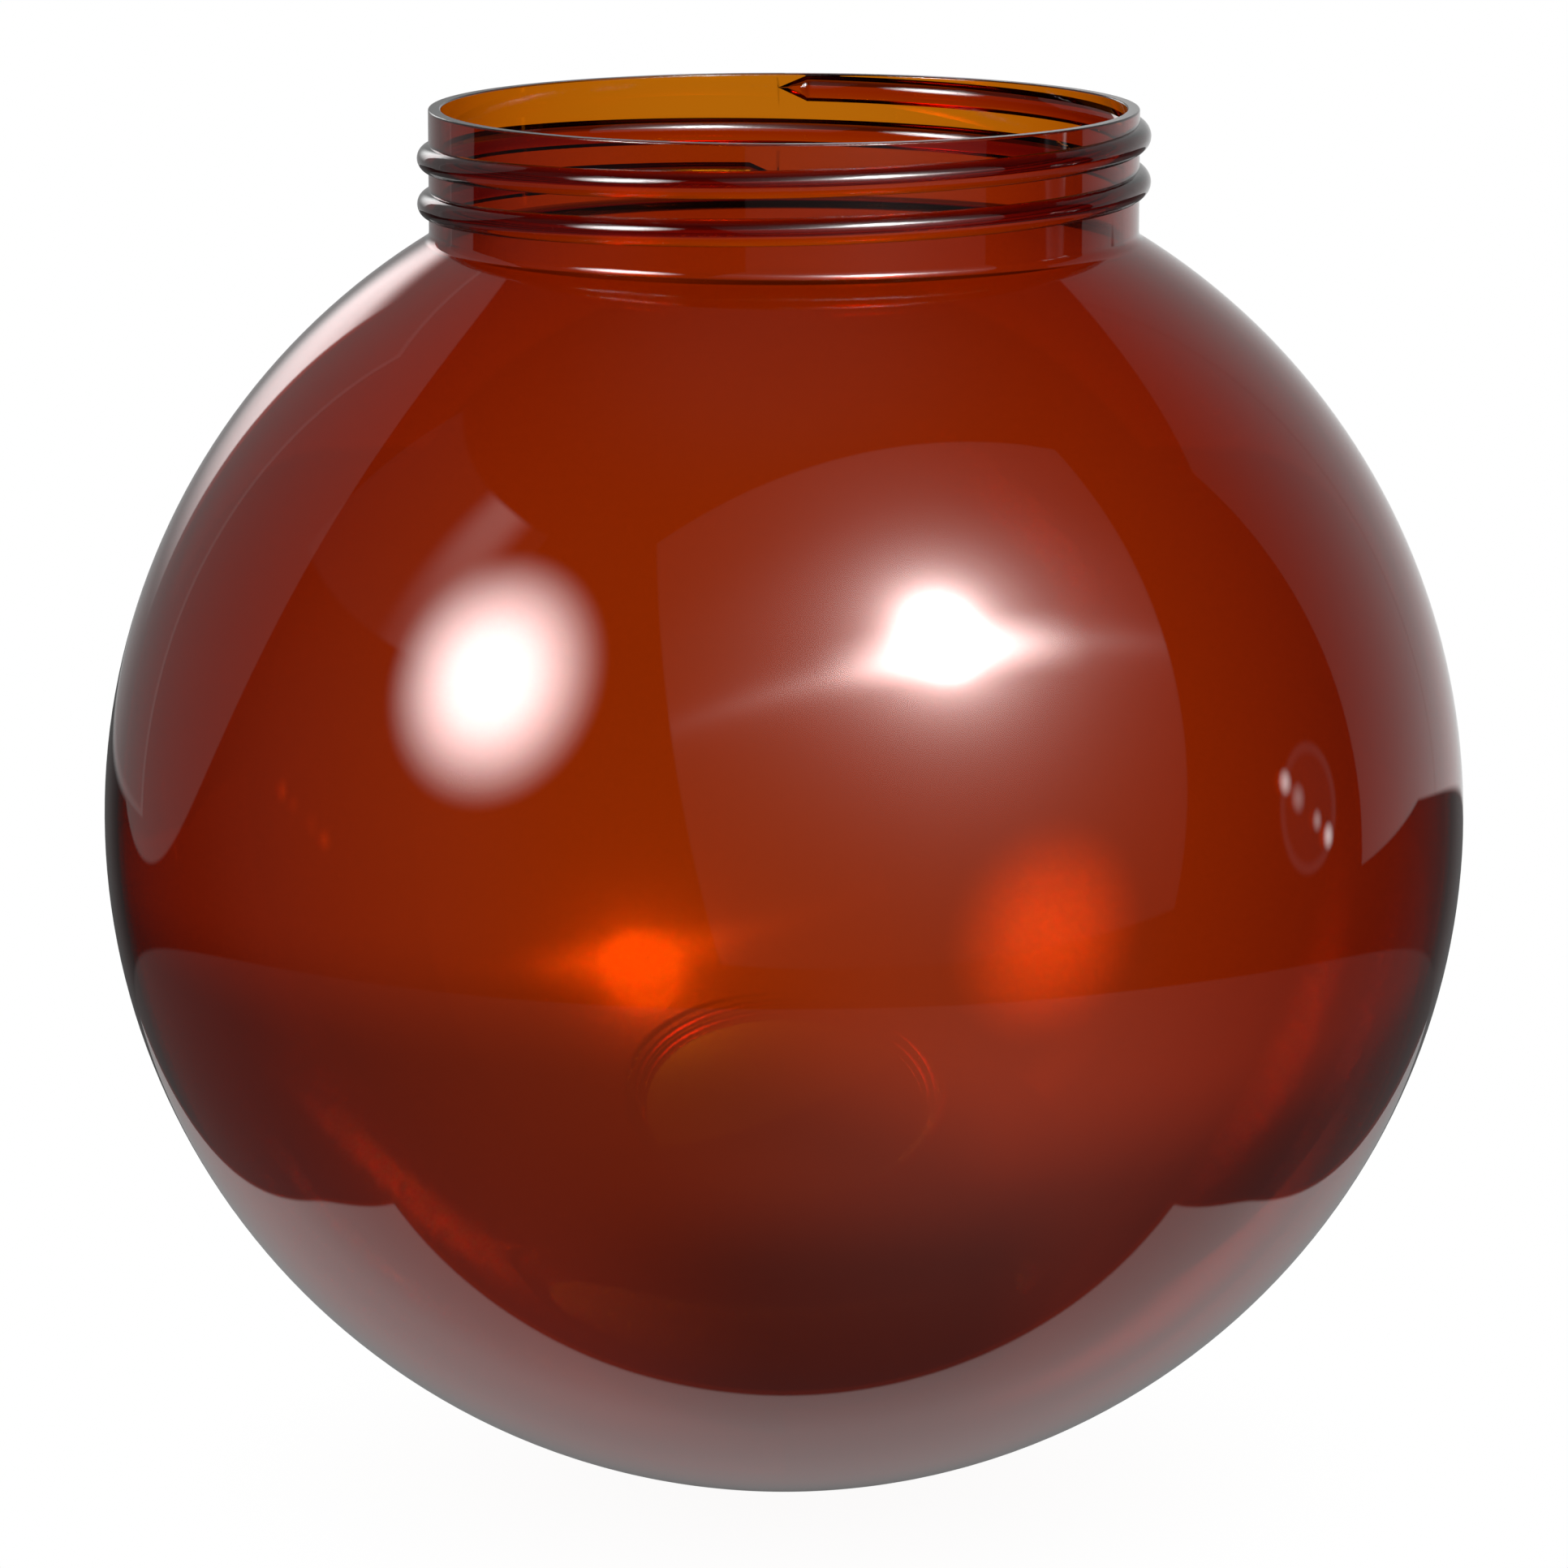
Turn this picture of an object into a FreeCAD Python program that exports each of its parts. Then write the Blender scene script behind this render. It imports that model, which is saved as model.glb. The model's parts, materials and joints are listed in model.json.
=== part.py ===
import FreeCAD, Part
import math
import os

# Screw-neck ball globe for a light fitting: a hollow ball of clear amber acrylic
# whose open neck carries a round, raised screw thread on the outside.
#
# The globe is one moulding. It is written here as three solids that meet face to
# face: the blown ball with its shoulder, the straight collar of the neck, and the
# thread bead that stands on the collar.
#
# Units are millimetres. The origin is the centre of the mouth, in the plane of the
# rim. +Z runs along the neck and out of the mouth, so the ball lies below the origin.
# Both thread ends are at the back, one degree off the +Y axis.

# ---- Driving dimensions ----
BALL_DIAMETER = 152.4
OVERALL_HEIGHT = 155.7
WALL = 1.4
NECK_DIAMETER = 78.74
SHOULDER_FILLET = 1.2
RIM_ROUNDING = 0.2

THREAD_DIAMETER = 81.28
THREAD_PITCH = 5.08
THREAD_TURNS = 2
BEAD_WIDTH = 3.0
BEAD_TOP_GAP = 0.25
TIP_LENGTH = 3.4
THREAD_END_ANGLE = 91.0

# ---- Worked out from them ----
BALL_R = BALL_DIAMETER / 2
BALL_INNER_R = BALL_R - WALL
BALL_CENTRE_Z = BALL_R - OVERALL_HEIGHT
NECK_R = NECK_DIAMETER / 2
MOUTH_R = NECK_R - WALL

# The shoulder is a pair of arcs about one centre, which keeps the wall even where the
# neck turns into the ball. That centre is one fillet radius off both outer surfaces.
SHOULDER_R = NECK_R + SHOULDER_FILLET
SHOULDER_REACH = BALL_R + SHOULDER_FILLET
SHOULDER_RISE = math.sqrt(SHOULDER_REACH**2 - SHOULDER_R**2)
SHOULDER_Z = BALL_CENTRE_Z + SHOULDER_RISE

BEAD_HEIGHT = (THREAD_DIAMETER - NECK_DIAMETER) / 2
THREAD_TOP_Z = -BEAD_TOP_GAP - BEAD_WIDTH / 2
TIP_SWEEP = math.degrees(TIP_LENGTH / NECK_R)
THREAD_LENGTH = THREAD_PITCH * (THREAD_TURNS - 2 * TIP_SWEEP / 360)
THREAD_BOTTOM_Z = THREAD_TOP_Z - THREAD_LENGTH


def point(radius, z, angle=0.0):
    """A point at that distance from the axis, that height and that angle in degrees."""
    turn = math.radians(angle)
    return FreeCAD.Vector(radius * math.cos(turn), radius * math.sin(turn), z)


def around(centre_r, centre_z, radius, slope):
    """The point of a circle in the XZ plane that lies slope degrees above its centre."""
    tilt = math.radians(slope)
    return point(centre_r + radius * math.cos(tilt), centre_z + radius * math.sin(tilt))


def arc(start, middle, end):
    return Part.Arc(start, middle, end).toShape()


def line(start, end):
    return Part.LineSegment(start, end).toShape()


def revolved(edges):
    """The solid that a closed outline in the XZ plane sweeps as it turns about the Z axis."""
    face = Part.Face(Part.Wire(edges))
    return face.revolve(FreeCAD.Vector(0, 0, 0), FreeCAD.Vector(0, 0, 1), 360)


def ball():
    """The hollow ball, up to the top of the shoulder, where the straight collar starts."""
    lowest = -90
    join = math.degrees(math.atan2(SHOULDER_RISE, SHOULDER_R))
    middle = (lowest + join) / 2

    def on_ball(radius, slope):
        return around(0, BALL_CENTRE_Z, radius, slope)

    def on_shoulder(radius, slope):
        return around(SHOULDER_R, SHOULDER_Z, radius, slope)

    # From the shoulder's centre, the ball lies back along the line to the ball's own
    # centre, and the collar lies level with it, on the side of the axis.
    toward_ball = 180 + join
    toward_neck = 180
    between = (toward_ball + toward_neck) / 2
    inner_fillet = SHOULDER_FILLET + WALL

    outer_bottom = on_ball(BALL_R, lowest)
    outer_join = on_ball(BALL_R, join)
    outer_neck = on_shoulder(SHOULDER_FILLET, toward_neck)
    inner_neck = on_shoulder(inner_fillet, toward_neck)
    inner_join = on_ball(BALL_INNER_R, join)
    inner_bottom = on_ball(BALL_INNER_R, lowest)
    return revolved(
        [
            arc(outer_bottom, on_ball(BALL_R, middle), outer_join),
            arc(outer_join, on_shoulder(SHOULDER_FILLET, between), outer_neck),
            line(outer_neck, inner_neck),
            arc(inner_neck, on_shoulder(inner_fillet, between), inner_join),
            arc(inner_join, on_ball(BALL_INNER_R, middle), inner_bottom),
            line(inner_bottom, outer_bottom),
        ]
    )


def collar():
    """The straight wall of the neck, from the shoulder up to the flat rim and its soft edges."""

    def outer_edge(slope):
        return around(NECK_R - RIM_ROUNDING, -RIM_ROUNDING, RIM_ROUNDING, slope)

    def inner_edge(slope):
        return around(MOUTH_R + RIM_ROUNDING, -RIM_ROUNDING, RIM_ROUNDING, slope)

    outer_foot = point(NECK_R, SHOULDER_Z)
    inner_foot = point(MOUTH_R, SHOULDER_Z)
    return revolved(
        [
            line(inner_foot, outer_foot),
            line(outer_foot, outer_edge(0)),
            arc(outer_edge(0), outer_edge(45), outer_edge(90)),
            line(outer_edge(90), inner_edge(90)),
            arc(inner_edge(90), inner_edge(135), inner_edge(180)),
            line(inner_edge(180), inner_foot),
        ]
    )


def bead_outline(z, angle):
    """The bead's section at that angle: a chord on the collar and an arc outside it."""
    low = point(NECK_R, z - BEAD_WIDTH / 2, angle)
    crest = point(NECK_R + BEAD_HEIGHT, z, angle)
    high = point(NECK_R, z + BEAD_WIDTH / 2, angle)
    return Part.Wire([arc(low, crest, high), line(high, low)])


def tip(z, way):
    """The bead drawn down to a point on the collar: way is 1 up the thread and -1 down it."""
    swept = way * TIP_SWEEP
    climb = THREAD_PITCH * swept / 360
    end = Part.Vertex(point(NECK_R, z + climb, THREAD_END_ANGLE))
    cone = Part.makeLoft([bead_outline(z, THREAD_END_ANGLE - swept), end], True, True)
    core = Part.makeCylinder(NECK_R, -SHOULDER_Z, point(0, SHOULDER_Z))
    return cone.cut(core)


def thread():
    """The right-handed round bead. It is two turns long from the point of one tip to the
    point of the other, so both points lie at the same angle."""
    start = THREAD_END_ANGLE + TIP_SWEEP
    helix = Part.makeHelix(THREAD_PITCH, THREAD_LENGTH, NECK_R)
    helix.rotate(point(0, 0), FreeCAD.Vector(0, 0, 1), start)
    helix.translate(point(0, THREAD_BOTTOM_Z))
    bead = Part.Wire(helix).makePipeShell([bead_outline(THREAD_BOTTOM_Z, start)], True, True)
    return bead.fuse([tip(THREAD_TOP_Z, 1), tip(THREAD_BOTTOM_Z, -1)])


def main():
    pieces = {"ball_shell": ball(), "neck_collar": collar(), "screw_thread": thread()}
    os.makedirs("parts", exist_ok=True)
    for name, shape in pieces.items():
        shape.exportStep(f"parts/{name}.step")
        box = shape.BoundBox
        print(
            f"{name}: {shape.ShapeType}, {len(shape.Solids)} solid, valid {shape.isValid()},"
            f" {shape.Volume:.1f} mm3, z {box.ZMin:.2f} to {box.ZMax:.2f}"
        )


main()
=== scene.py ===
import json
import math

import bmesh
import bpy
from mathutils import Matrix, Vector

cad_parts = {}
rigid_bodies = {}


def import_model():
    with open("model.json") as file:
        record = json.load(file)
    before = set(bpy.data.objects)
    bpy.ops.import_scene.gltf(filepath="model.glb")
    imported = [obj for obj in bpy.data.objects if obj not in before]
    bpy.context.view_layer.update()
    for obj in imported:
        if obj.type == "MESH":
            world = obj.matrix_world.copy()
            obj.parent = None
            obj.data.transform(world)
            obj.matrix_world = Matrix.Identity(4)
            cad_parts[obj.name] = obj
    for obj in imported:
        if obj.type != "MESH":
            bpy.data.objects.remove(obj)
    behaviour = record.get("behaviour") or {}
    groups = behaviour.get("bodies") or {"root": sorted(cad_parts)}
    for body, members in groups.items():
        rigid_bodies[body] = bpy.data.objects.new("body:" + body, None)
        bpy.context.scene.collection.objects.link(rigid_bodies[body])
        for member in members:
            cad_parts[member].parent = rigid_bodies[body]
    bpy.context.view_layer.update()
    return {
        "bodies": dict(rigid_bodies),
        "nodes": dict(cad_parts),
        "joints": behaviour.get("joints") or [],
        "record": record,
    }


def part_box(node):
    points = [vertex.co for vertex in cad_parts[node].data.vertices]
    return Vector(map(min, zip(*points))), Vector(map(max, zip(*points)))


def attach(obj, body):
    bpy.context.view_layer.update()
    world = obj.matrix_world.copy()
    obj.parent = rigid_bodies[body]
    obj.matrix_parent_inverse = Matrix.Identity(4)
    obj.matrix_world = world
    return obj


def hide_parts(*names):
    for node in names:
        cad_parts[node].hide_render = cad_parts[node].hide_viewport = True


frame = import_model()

# ---- The globe ----
# One hollow moulding of clear amber acrylic: a blown ball, a rounded shoulder and a
# short neck with a raised screw thread. The wall is the same all over. The thread is
# formed with the neck, so the whole globe is one closed skin with nothing inside it.

shell_low, shell_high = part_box("ball_shell")
_, collar_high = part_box("neck_collar")
_, thread_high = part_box("screw_thread")

BALL_R = (shell_high.y - shell_low.y) / 2
BALL_CENTRE_Z = shell_low.z + BALL_R
NECK_R = collar_high.x
WALL = 0.0014
SHOULDER_FILLET = 0.0012
RIM_ROUNDING = 0.0002
SUPPORT = 0.00004

THREAD_PITCH = 0.00508
THREAD_TURNS = 2
BEAD_WIDTH = 0.003
BEAD_HEIGHT = 0.00127
TIP_LENGTH = 0.0034
THREAD_TOP_Z = thread_high.z - BEAD_WIDTH / 2
THREAD_END_ANGLE = math.radians(91)
TIP_POINT = 0.01
TIP_BLUNTNESS = 2.3
ROD_R = (BEAD_WIDTH**2 / 4 + BEAD_HEIGHT**2) / (2 * BEAD_HEIGHT)
ROD_DEPTH = ROD_R - BEAD_HEIGHT

TIP_TURN = TIP_LENGTH / (2 * math.pi * NECK_R)
FULL_TURNS = THREAD_TURNS - 2 * TIP_TURN
TIP_COLUMNS = 12
COLUMNS = 348
BEAD_ROWS = 18
RIDGE_ROWS = 12
ROUNDING_ROWS = 5
FILLET_ROWS = 9
BALL_ROWS = 99

SHOULDER_R = NECK_R + SHOULDER_FILLET
SHOULDER_RISE = math.sqrt((BALL_R + SHOULDER_FILLET) ** 2 - SHOULDER_R**2)
SHOULDER_Z = BALL_CENTRE_Z + SHOULDER_RISE
SHOULDER_SLOPE = math.atan2(SHOULDER_RISE, SHOULDER_R)


def arc(centre_r, centre_z, radius, start, end, steps):
    """Points of an arc in the radial plane, as (distance from the axis, height)."""
    slopes = [start + (end - start) * i / steps for i in range(steps + 1)]
    return [(centre_r + radius * math.cos(s), centre_z + radius * math.sin(s)) for s in slopes]


def ball_arc(radius):
    """The ball's wall from the shoulder down to the last row above the pole."""
    last = -math.pi / 2 + (SHOULDER_SLOPE + math.pi / 2) / BALL_ROWS
    rows = arc(0, BALL_CENTRE_Z, radius, SHOULDER_SLOPE, last, BALL_ROWS)
    support = arc(0, BALL_CENTRE_Z, radius, SHOULDER_SLOPE - SUPPORT / radius, 0, 1)
    return rows[:1] + support[:1] + rows[1:]


def shoulder_arc(radius):
    """The shoulder from the foot of the neck down to the ball."""
    return arc(SHOULDER_R, SHOULDER_Z, radius, math.pi, math.pi + SHOULDER_SLOPE, FILLET_ROWS)


def skin_inside():
    """The inside of the ball and the shoulder, from the bottom up to the foot of the neck."""
    shoulder = shoulder_arc(SHOULDER_FILLET + WALL)
    foot = [(NECK_R - WALL, SHOULDER_Z + SUPPORT)]
    return ball_arc(BALL_R - WALL)[::-1] + shoulder[-2::-1] + foot


def skin_of_rim():
    """The flat rim and its two rounded edges, from the inside of the neck to the outside."""
    inner_edge = NECK_R - WALL + RIM_ROUNDING
    outer_edge = NECK_R - RIM_ROUNDING
    inner = arc(inner_edge, -RIM_ROUNDING, RIM_ROUNDING, math.pi, math.pi / 2, ROUNDING_ROWS)
    outer = arc(outer_edge, -RIM_ROUNDING, RIM_ROUNDING, math.pi / 2, 0, ROUNDING_ROWS)
    flat = [(inner_edge + SUPPORT, 0), (outer_edge - SUPPORT, 0)]
    below = -RIM_ROUNDING - SUPPORT
    return [(NECK_R - WALL, below)] + inner + flat + outer + [(NECK_R, below)]


def skin_outside():
    """The outside of the shoulder and the ball, from the foot of the neck downward."""
    return [(NECK_R, SHOULDER_Z + SUPPORT)] + shoulder_arc(SHOULDER_FILLET)[:-1] + ball_arc(BALL_R)


def thread_size(turn):
    """1 along the thread, and drawn down to a point over each tip."""
    beyond = max(-turn, turn - FULL_TURNS, 0)
    return max(1 - beyond / TIP_TURN, TIP_POINT)


def bead_rows(turn):
    """The thread outside the neck where it has gone that many turns down, top first. Its
    section is the part of a round rod that stands out of the wall. The tips are blunt: they
    keep their height for longer than their width."""
    size = thread_size(turn)
    half = math.acos(ROD_DEPTH / ROD_R)
    middle = THREAD_TOP_Z - THREAD_PITCH * turn
    blunt = min(1 / size, TIP_BLUNTNESS)
    rows = arc(-size * ROD_DEPTH, middle, size * ROD_R, half, -half, BEAD_ROWS)
    return [(NECK_R + blunt * rise, z) for rise, z in rows]


def ridge_rows(turn):
    """The low ridge that the same rod makes inside the neck, bottom first. It runs out
    before the tips do, and from there its rows lie flat on the wall."""
    size = thread_size(turn)
    middle = THREAD_TOP_Z - THREAD_PITCH * turn
    depth = (WALL - size * ROD_DEPTH) / (size * ROD_R)
    if depth < 1:
        half = math.acos(depth)
        centre = NECK_R - size * ROD_DEPTH
        return arc(centre, middle, size * ROD_R, math.pi + half, math.pi - half, RIDGE_ROWS)
    width = TIP_POINT * BEAD_WIDTH
    steps = [i / RIDGE_ROWS - 0.5 for i in range(RIDGE_ROWS + 1)]
    return [(NECK_R - WALL, middle + step * width) for step in steps]


def column(mesh, turn, inside, rim, outside):
    """One upright line of the skin, as {row: vertex}. A row is (band, lap, place in it), and
    each lap of the thread that the line crosses has a ridge band and a bead band."""
    # A little over a tip's length, so that the points themselves count.
    reach = TIP_TURN * 1.001
    laps = [i for i in range(-1, THREAD_TURNS + 1) if -reach <= turn + i <= FULL_TURNS + reach]
    bands = [("inside", 0, inside)]
    bands += [("ridge", lap, ridge_rows(turn + lap)) for lap in reversed(laps)]
    bands += [("rim", 0, rim)]
    bands += [("bead", lap, bead_rows(turn + lap)) for lap in laps]
    bands += [("outside", 0, outside)]
    angle = THREAD_END_ANGLE - 2 * math.pi * (turn + TIP_TURN)
    return {
        (band, lap, i): mesh.verts.new((r * math.cos(angle), r * math.sin(angle), z))
        for band, lap, spots in bands
        for i, (r, z) in enumerate(spots)
    }


def strip(mesh, left, right):
    """The faces between two columns. A row that only one of them has fans out to the other."""
    left_rows, right_rows = list(left), list(right)
    i = j = 0
    while i < len(left_rows) - 1 or j < len(right_rows) - 1:
        here_left, here_right = left[left_rows[i]], right[right_rows[j]]
        next_left, next_right = left_rows[i + 1], right_rows[j + 1]
        if next_left == next_right:
            mesh.faces.new((here_left, here_right, right[next_right], left[next_left]))
            i, j = i + 1, j + 1
        elif next_left not in right:
            mesh.faces.new((here_left, here_right, left[next_left]))
            i += 1
        else:
            mesh.faces.new((here_left, here_right, right[next_right]))
            j += 1


def crease(mesh, left, right):
    """Sharp edges where the bead and the ridge stand on the neck, and round their tips."""
    last_place = {"bead": BEAD_ROWS, "ridge": RIDGE_ROWS}
    for here, there in ((left, right), (right, left)):
        for (band, lap, place), vertex in here.items():
            last = last_place.get(band)
            if (band, lap, place) in there and place in (0, last) and last:
                mesh.edges.get((vertex, there[band, lap, place])).smooth = False
            elif (band, lap, place) not in there and place < last:
                mesh.edges.get((vertex, here[band, lap, place + 1])).smooth = False


def globe():
    """The whole globe as one closed mesh."""
    mesh = bmesh.new()
    inside, rim, outside = skin_inside(), skin_of_rim(), skin_outside()
    turns = [TIP_TURN * (i / TIP_COLUMNS - 2) for i in range(2 * TIP_COLUMNS)]
    turns += [(1 - 2 * TIP_TURN) * i / COLUMNS for i in range(COLUMNS)]
    columns = [column(mesh, turn, inside, rim, outside) for turn in turns]
    # One turn round, the first column comes again, and each of its laps is one higher.
    columns.append(
        {
            (band, lap - 1 if band in ("ridge", "bead") else lap, place): vertex
            for (band, lap, place), vertex in columns[0].items()
        }
    )
    inside_pole = mesh.verts.new((0, 0, BALL_CENTRE_Z - BALL_R + WALL))
    outside_pole = mesh.verts.new((0, 0, BALL_CENTRE_Z - BALL_R))
    first, last = ("inside", 0, 0), ("outside", 0, len(outside) - 1)
    for left, right in zip(columns, columns[1:]):
        strip(mesh, left, right)
        crease(mesh, left, right)
        mesh.faces.new((inside_pole, right[first], left[first]))
        mesh.faces.new((outside_pole, left[last], right[last]))
    for face in mesh.faces:
        face.smooth = True
    data = bpy.data.meshes.new("amber_globe")
    mesh.to_mesh(data)
    mesh.free()
    piece = bpy.data.objects.new("amber_globe", data)
    bpy.context.collection.objects.link(piece)
    return piece


class Shade:
    """A shader socket. Sums on it add Math nodes, and node() makes any other node."""

    def __init__(self, tree, socket=None):
        self.tree = tree
        self.socket = socket

    def node(self, kind, settings=None, inputs=None, output=0):
        made = self.tree.nodes.new(kind)
        for name, value in (settings or {}).items():
            setattr(made, name, value)
        for name, value in (inputs or {}).items():
            if isinstance(value, Shade):
                self.tree.links.new(value.socket, made.inputs[name])
            else:
                made.inputs[name].default_value = value
        socket = made.outputs[output] if len(made.outputs) else None
        return Shade(self.tree, socket)

    def other(self, output):
        """Another output of the same node."""
        return Shade(self.tree, self.socket.node.outputs[output])

    def maths(self, operation, first, second=0.0):
        settings = {"operation": operation}
        return self.node("ShaderNodeMath", settings, {0: first, 1: second})

    def __add__(self, other):
        return self.maths("ADD", self, other)

    def __sub__(self, other):
        return self.maths("SUBTRACT", self, other)

    def __rsub__(self, other):
        return self.maths("SUBTRACT", other, self)

    def __mul__(self, other):
        return self.maths("MULTIPLY", self, other)

    def __truediv__(self, other):
        return self.maths("DIVIDE", self, other)

    def __rtruediv__(self, other):
        return self.maths("DIVIDE", other, self)

    def __pow__(self, other):
        return self.maths("POWER", self, other)

    __radd__ = __add__
    __rmul__ = __mul__

    def size(self):
        return self.maths("ABSOLUTE", self)

    def least(self, other):
        return self.maths("MINIMUM", self, other)

    def most(self, other):
        return self.maths("MAXIMUM", self, other)

    def rise(self, low, high):
        """0 below low, 1 above high, and a smooth slope between. It falls if high is lower."""
        settings = {"interpolation_type": "SMOOTHSTEP"}
        flip = high < low
        ends = {1: min(low, high), 2: max(low, high), 3: float(flip), 4: float(not flip)}
        return self.node("ShaderNodeMapRange", settings, {0: self} | ends)

    def dot(self, vector):
        settings = {"operation": "DOT_PRODUCT"}
        return self.node("ShaderNodeVectorMath", settings, {0: self, 1: vector}, "Value")


AMBER = (0.908, 0.688, 0.0, 1)
AMBER_DENSITY = 4000
ACRYLIC_IOR = 1.49
HAZE_ROUGHNESS = 0.012
WORN_ROUGHNESS = 0.1
WORN_FROM = 0.0003
WORN_FULLY = 0.0001
WAVE_HEIGHT = 0.0002
WAVE_STRENGTH = 0.3


def amber_acrylic():
    """Clear acrylic, tinted all through: what light loses depends on how far it goes inside.
    The blown skin is very slightly wavy and hazy, and the thread's crest is a little worn."""
    material = bpy.data.materials.new("amber_acrylic")
    material.use_nodes = True
    tree = material.node_tree
    tree.nodes.clear()
    start = Shade(tree)
    place = start.node("ShaderNodeTexCoord", {}, {}, "Object")
    parts = start.node("ShaderNodeSeparateXYZ", {}, {0: place})
    x, y, z = parts, parts.other(1), parts.other(2)

    def noise(scale, detail):
        inputs = {"Vector": place, "Scale": scale, "Detail": detail}
        return start.node("ShaderNodeTexNoise", {}, inputs)

    crest = NECK_R + BEAD_HEIGHT
    on_crest = ((x * x + y * y) ** 0.5).rise(crest - WORN_FROM, crest - WORN_FULLY)
    on_crest = on_crest * z.rise(SHOULDER_Z, SHOULDER_Z + 0.0005)
    worn = on_crest * noise(700, 3).rise(0.5, 0.7) * WORN_ROUGHNESS
    hazy = noise(30, 3).rise(0.45, 0.8) * HAZE_ROUGHNESS
    waves = start.node(
        "ShaderNodeBump",
        {},
        {"Height": noise(22, 1), "Strength": WAVE_STRENGTH, "Distance": WAVE_HEIGHT},
    )
    surface = start.node(
        "ShaderNodeBsdfPrincipled",
        {},
        {
            "Base Color": (1, 1, 1, 1),
            "Roughness": hazy + worn,
            "IOR": ACRYLIC_IOR,
            "Transmission Weight": 1.0,
            "Normal": waves,
        },
    )
    tint = start.node("ShaderNodeVolumeAbsorption", {}, {"Color": AMBER, "Density": AMBER_DENSITY})
    start.node("ShaderNodeOutputMaterial", {}, {"Surface": surface, "Volume": tint})
    return material


amber_globe = globe()
amber_globe.data.materials.append(amber_acrylic())
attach(amber_globe, "root")
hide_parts("ball_shell", "neck_collar", "screw_thread")

# ---- Floor ----
# A plain pale floor, half a millimetre under the ball. Only the camera sees it, so the
# globe's reflections are those of the studio.

FLOOR_SIZE = 40.0
FLOOR_GAP = 0.0005
FLOOR_WHITE = (1, 1, 1, 1)
# A painted shadow: the floor's colour turns darker and warmer towards the spot under the ball.
PAINTED_SHADOW_COLOUR = (0.55, 0.4, 0.36, 1)
PAINTED_SHADOW_R = 0.075
PAINTED_SHADOW_STRENGTH = 0.08


def pale_floor():
    mesh = bmesh.new()
    half = FLOOR_SIZE / 2
    corners = [(-half, -half), (half, -half), (half, half), (-half, half)]
    mesh.faces.new([mesh.verts.new((x, y, 0)) for x, y in corners])
    data = bpy.data.meshes.new("floor")
    mesh.to_mesh(data)
    mesh.free()
    floor = bpy.data.objects.new("floor", data)
    bpy.context.collection.objects.link(floor)
    floor.location.z = shell_low.z - FLOOR_GAP
    return floor


def floor_paint():
    """Lit evenly, with a faint painted shadow where the ball stands."""
    material = bpy.data.materials.new("pale_floor")
    material.use_nodes = True
    tree = material.node_tree
    tree.nodes.clear()
    start = Shade(tree)
    place = start.node("ShaderNodeTexCoord", {}, {}, "Object")
    away = start.node("ShaderNodeVectorMath", {"operation": "LENGTH"}, {0: place}, "Value")
    # Painted shadow: strongest right under the ball, fading out with distance.
    painted_floor_shadow = away.rise(PAINTED_SHADOW_R, 0.0) * PAINTED_SHADOW_STRENGTH
    colour = start.node(
        "ShaderNodeMix",
        {"data_type": "RGBA"},
        {"Factor": painted_floor_shadow, "A": FLOOR_WHITE, "B": PAINTED_SHADOW_COLOUR},
        "Result",
    )
    light = start.node("ShaderNodeEmission", {}, {"Color": colour, "Strength": 1.0})
    start.node("ShaderNodeOutputMaterial", {}, {"Surface": light})
    return material


floor = pale_floor()
floor.data.materials.append(floor_paint())
floor.visible_glossy = False
floor.visible_transmission = False
floor.visible_diffuse = False
floor.visible_shadow = False

# ---- Studio light ----
# A dark room with plain soft lights: a large panel with a hot spot in front on the right,
# a round lamp in front on the left, a disc and a tall strip behind on the left, a card
# behind on the right, and another globe beside it. Below are the room's floor and the
# white table top, with a painted shadow of the globe on the table.


def aim(azimuth, elevation):
    """A direction from the globe. Azimuth 0 is to the front and 90 to the right."""
    around, up = math.radians(azimuth), math.radians(elevation)
    flat = math.cos(up)
    return Vector((flat * math.sin(around), -flat * math.cos(around), math.sin(up)))


DEGREES = 180 / math.pi
PANEL_TURN = 28
PANEL_TILT = 25
ROOM_DARK = 0.018
CAMERA_WHITE = 1.0


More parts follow.
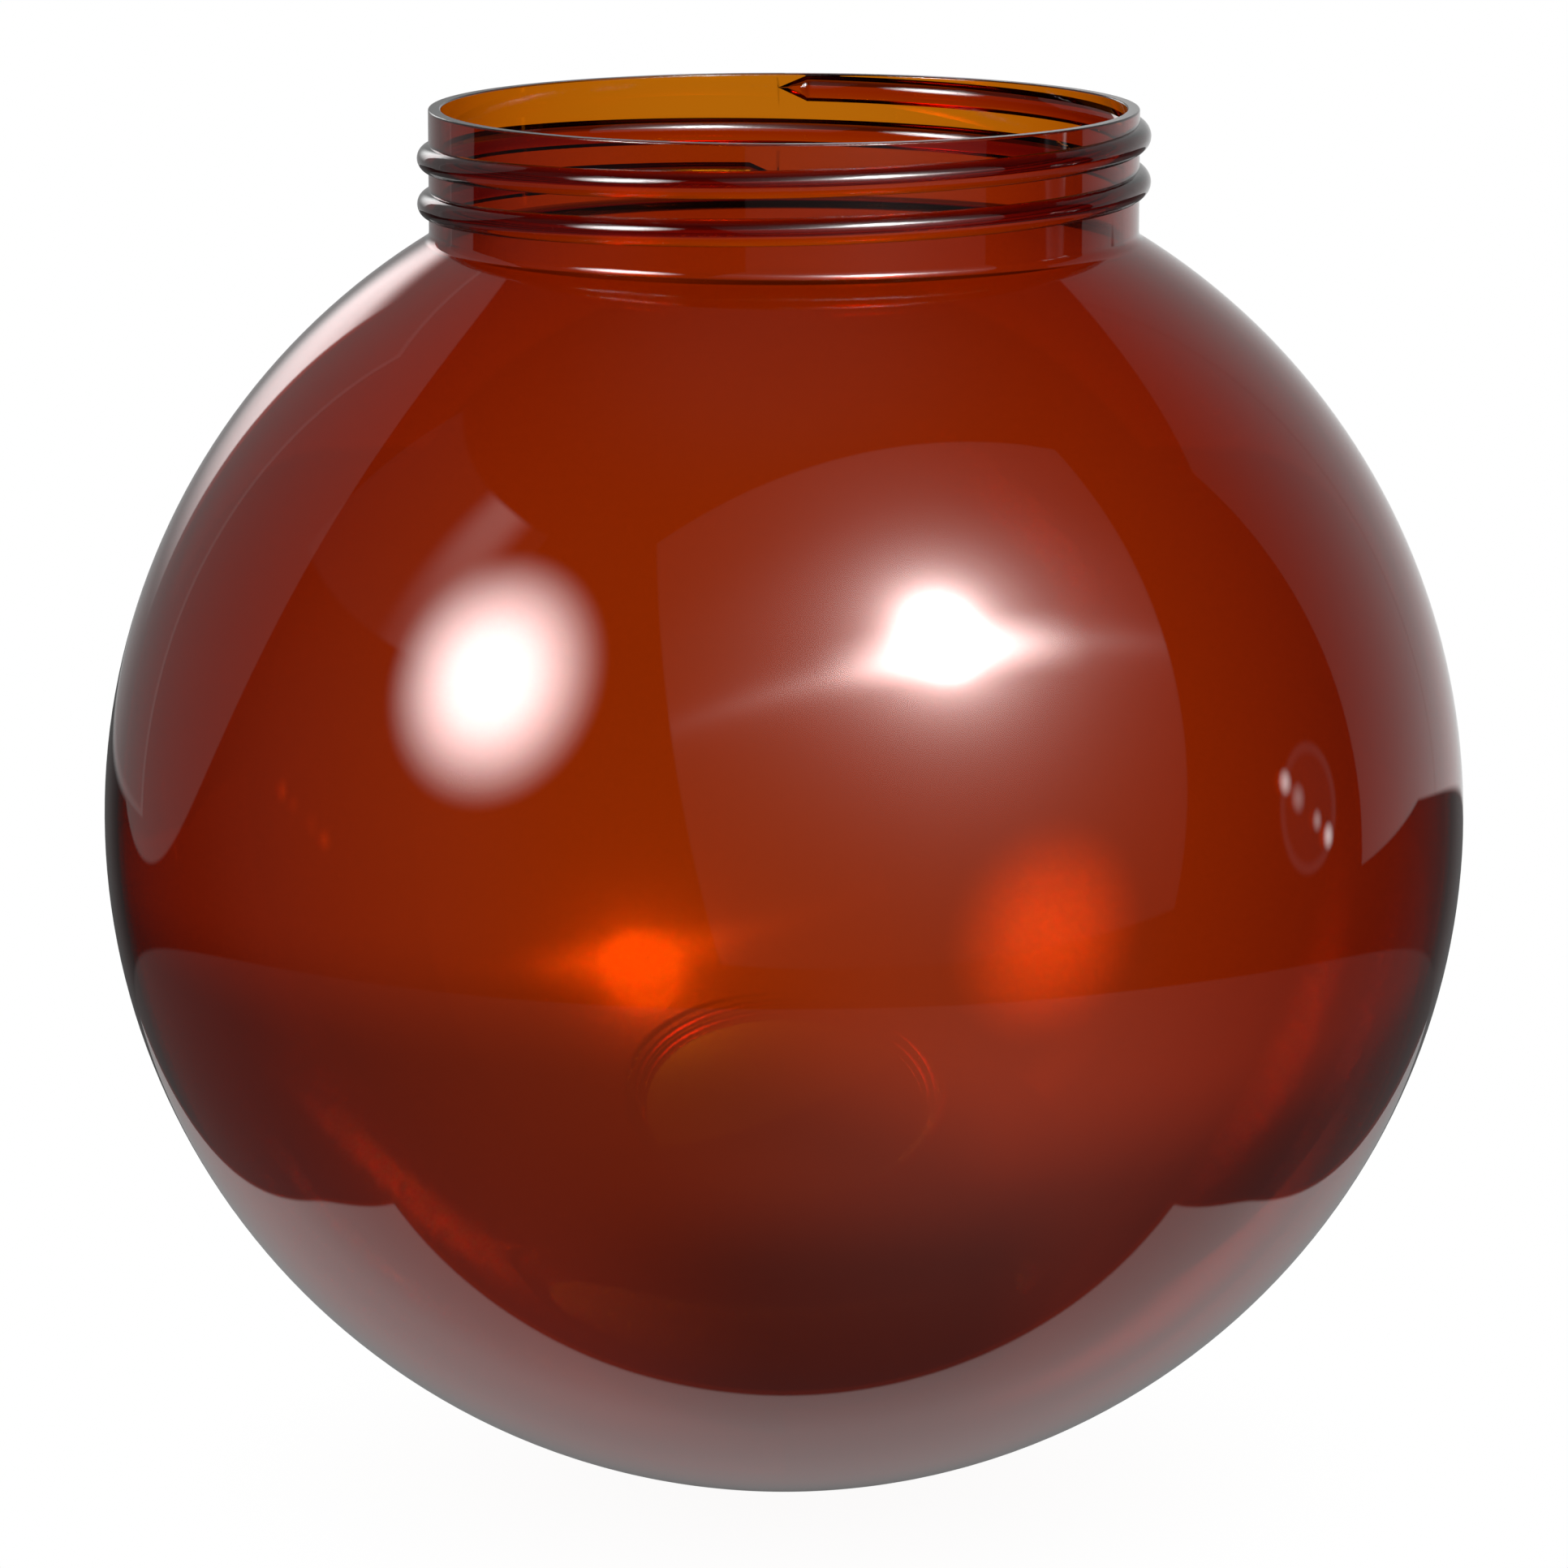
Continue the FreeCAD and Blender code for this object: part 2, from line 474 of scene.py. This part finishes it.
def studio():
    """The room as a light for each direction. A mirror-like reflection sees all of it, and
    a ray that goes straight on through the wall of the globe sees the backdrop. The camera
    itself sees white."""
    world = bpy.data.worlds.new("studio")
    bpy.context.scene.world = world
    world.use_nodes = True
    tree = world.node_tree
    tree.nodes.clear()
    start = Shade(tree)
    way = start.node("ShaderNodeTexCoord", {}, {}, "Generated")
    parts = start.node("ShaderNodeSeparateXYZ", {}, {0: way})
    x, y, z = parts, parts.other(1), parts.other(2)
    azimuth = start.maths("ARCTAN2", x, y * -1) * DEGREES
    elevation = start.maths("ARCSINE", z) * DEGREES
    horizon = -18.6 + y * 3.15

    def between(value, low, high, soft):
        return value.rise(low - soft, low + soft) * value.rise(high + soft, high - soft)

    def degrees_from(azimuth, elevation):
        return start.maths("ARCCOSINE", way.dot(aim(azimuth, elevation))) * DEGREES

    def panel():
        """A flat panel: across and height are measured in its own plane. A lamp behind it
        makes the hot spot, and a level streak runs through that."""
        ahead = way.dot(aim(PANEL_TURN, PANEL_TILT))
        across = way.dot(aim(PANEL_TURN + 90, 0)) / ahead
        height = way.dot(aim(PANEL_TURN, PANEL_TILT + 90)) / ahead
        width = 0.945 - height * 0.08
        shape = ahead.rise(0.0, 0.01) * (width - (across + 0.01).size()).rise(-0.01, 0.01)
        foot = (height + 0.83 - across * 0.09).rise(-0.02, 0.02)
        shape = shape * height.rise(1.02, 1.0) * foot
        off = degrees_from(32, 38)
        glow = (13500 / (off * off + 16) ** 1.5).least(40)
        glow = glow * (1 - height.rise(0.35, 0.75) * 0.4)
        core = degrees_from(32.5, 35).rise(7, 1) * 20
        band = (height - 0.17 - across * 0.025) / 0.045
        streak = 0.3 / ((across - 0.06).size() ** 3 + 0.02) / (band * band + 1)
        flare = (across - 0.1).size().rise(0.46, 0.05) * 12
        flare = flare * (height - 0.185).size().rise(0.11, 0.0)
        return shape * (glow + core + streak + flare + 0.04)

    def round_lamp():
        return degrees_from(-55.4, 26.3).rise(20.2, 1) * 31

    def umbrella():
        """A pale folded reflector above on the left."""
        shape = between(azimuth, -110, -60, 0.5) * between(elevation, 25, 48.5, 0.5)
        fold = (azimuth + 74).size().rise(10, 1) * (elevation.rise(15, 50) * 1.2 + 0.2)
        return shape * (fold + 0.05)

    def left_lights():
        """A dim disc behind on the left, a framed sheet further round, and a tall strip."""
        disc = degrees_from(-134.7, 16.3).rise(27.5, 27.0) * 0.215
        frame = azimuth.rise(-135.9, -136.3) * between(elevation, -8.5, 35, 0.3)
        inside = azimuth.rise(-137.0, -137.4) * between(elevation, -7.9, 34, 0.3)
        strip = azimuth.rise(-172, -162) * azimuth.rise(-152.6, -153.8)
        strip = strip * elevation.rise(-3, 14) * elevation.rise(24, 16) * 2.35
        return disc.most(frame * 0.34 - inside * 0.09) + strip

    def right_card():
        """A card behind on the right, brighter towards the back, with one faint seam."""
        inner = (azimuth - 111.6 + elevation * 0.045).rise(-0.3, 0.3)
        across = azimuth - 136
        top = (43 - across * across * 0.0102 - elevation).rise(-0.3, 0.3)
        foot = (elevation + 6.7 + (azimuth - 133).size() * 0.11).rise(-0.2, 0.2)
        lit = (azimuth.rise(90, 150) * 0.8 + 0.2) * (0.575 - elevation * 0.0098)
        return inner * top * foot * lit * (1 - between(azimuth, 141.6, 142.4, 0.4) * 0.12)

    def second_globe():
        """Another globe, further off: a faint disc with a rim, and four glints on it.
        A glint is (azimuth, elevation, radius, brightness)."""
        off = degrees_from(97.5, -1)
        shine = between(off, 6.0, 7.2, 0.6) * 0.13 + off.rise(7.4, 6.8) * 0.06
        upper = (92.4, 3.0, 2.0, 6), (95.0, 0.6, 2.2, 2)
        lower = (99.3, -2.7, 1.6, 2.6), (102.1, -4.8, 1.8, 6)
        for around, up, radius, brightness in upper + lower:
            shine = shine + degrees_from(around, up).rise(radius, 0) * brightness
        return shine

    def walls():
        """The dark room, a little lighter overhead, on both sides and behind."""
        ceiling = elevation.rise(55, 85) * 0.08
        left = degrees_from(-75, -2).rise(45, 15) * 0.045
        right = azimuth.rise(115, 150) * elevation.rise(2, -8) * 0.04
        behind = degrees_from(180, -12).rise(35, 15) * 0.08
        return ceiling + left + right + behind + ROOM_DARK

    def floor_and_table():
        """The room's floor, lit in front on the right, and the table top over part of it.
        across and back are measured on the table, in units of its depth below the globe."""
        lit = degrees_from(40, -38).rise(56, 0) * 0.24 + 0.105
        down = z * -1
        across, back = x / down, y / down
        table = (1.025 - back.rise(0.7, 0.1) * 0.085 - across.size()).rise(-0.01, 0.01)
        table = table * (back - 0.235 + across * across * 0.07).rise(-0.01, 0.01)
        # The table top is white, with a painted shadow of the globe: darkest behind and below it.
        table_with_painted_shadow = (degrees_from(180, -21) * 0.018 + 0.17).least(0.95)
        return lit + table * (table_with_painted_shadow - lit)

    # The panel's light also spills softly below it.
    spill = degrees_from(30, -14).rise(42, 5) * 0.12
    lights = panel().most(spill) + round_lamp() + umbrella()
    lights = lights + left_lights() + right_card() + second_globe()
    below = (horizon - elevation).rise(-0.2, 0.2)
    room = walls() + lights
    room = room + below * (floor_and_table() - room)

    side = start.maths("ARCSINE", x) * DEGREES
    table_top = (elevation + side.most(-1).least(2) * 0.45).rise(-12.4, -13.85)
    # A painted shadow of the globe on the table, seen straight through the globe: darker low down
    # behind it.
    painted_globe_shadow = elevation.rise(-14.1, -15.4) * side.rise(-2.6, 0)
    painted_globe_shadow = painted_globe_shadow * (side.rise(3.2, 1.8) * 0.5 + 0.5)
    backdrop = 0.8 - side.size().rise(2.4, 6.6) * 0.17 - table_top * 0.37 - painted_globe_shadow * 0.22
    backdrop = backdrop + elevation.rise(-18.5, -22) * (room - backdrop)

    path = start.node("ShaderNodeLightPath")
    straight = path.other("Is Transmission Ray") * path.other("Glossy Depth").rise(0.9, 0.1)
    seen = room + straight * (backdrop - room)
    seen = seen + path.other("Is Camera Ray") * (CAMERA_WHITE - seen)
    light = start.node("ShaderNodeBackground", {}, {"Color": (1, 1, 1, 1), "Strength": seen})
    start.node("ShaderNodeOutputWorld", {}, {"Surface": light})


studio()

# ---- Camera ----
# A long lens a little above the ball's middle, so the mouth shows as a thin ellipse.

CAMERA_DISTANCE = 0.8655
CAMERA_RISE = math.radians(11.01)
CAMERA_PITCH = math.radians(10.80)
FOCAL_LENGTH_MM = 176.5
SENSOR_WIDTH_MM = 36
THROUGH_BOUNCES = 24
MIRROR_BOUNCES = 12

lens = bpy.data.cameras.new("camera")
lens.lens = FOCAL_LENGTH_MM
lens.sensor_width = SENSOR_WIDTH_MM
camera = bpy.data.objects.new("camera", lens)
bpy.context.collection.objects.link(camera)
camera.location = (
    0,
    -CAMERA_DISTANCE * math.cos(CAMERA_RISE),
    BALL_CENTRE_Z + CAMERA_DISTANCE * math.sin(CAMERA_RISE),
)
camera.rotation_euler = (math.pi / 2 - CAMERA_PITCH, 0, 0)
bpy.context.scene.camera = camera
bpy.context.scene.view_settings.view_transform = "Standard"
bpy.context.scene.cycles.max_bounces = THROUGH_BOUNCES
bpy.context.scene.cycles.transmission_bounces = THROUGH_BOUNCES
bpy.context.scene.cycles.glossy_bounces = MIRROR_BOUNCES
